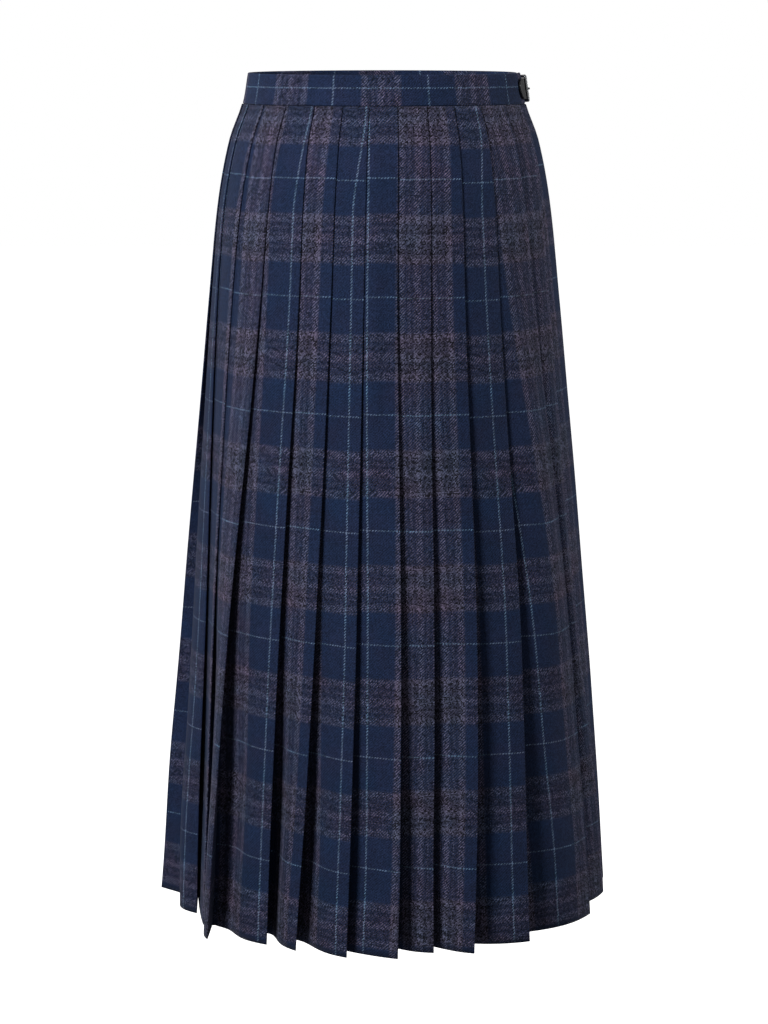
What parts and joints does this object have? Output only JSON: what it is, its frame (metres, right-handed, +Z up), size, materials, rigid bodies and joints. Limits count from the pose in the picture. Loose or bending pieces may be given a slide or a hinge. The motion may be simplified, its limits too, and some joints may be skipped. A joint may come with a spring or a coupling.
{
  "type": "pleated midi skirt",
  "caption": "Pleated midi skirt in a tartan check, hollow as worn: knife pleats all round on a shaped waistband, closed at the hip by a leather strap and buckle.",
  "frame": {"origin": "middle of the waist ring, halfway up the waistband, where the wearer holds the skirt up", "axes": "+Z up out of the waist, the centre front faces -Y, +X to the wearer's left, where the buckle is"},
  "size_m": [0.4411, 0.3475, 0.7935],
  "materials": {
    "tartan_cloth": "matte wool twill, navy with a brown and pale blue check",
    "strap_leather": "smooth satin black",
    "buckle_metal": "polished, lightly worn"
  },
  "bodies": {
    "root": {"pleats_front": "tartan_cloth", "pleats_back": "tartan_cloth", "waistband": "tartan_cloth", "buckle_chape": "strap_leather", "strap": "strap_leather", "buckle_frame": "buckle_metal", "buckle_prong": "buckle_metal"}
  },
  "joints": []
}
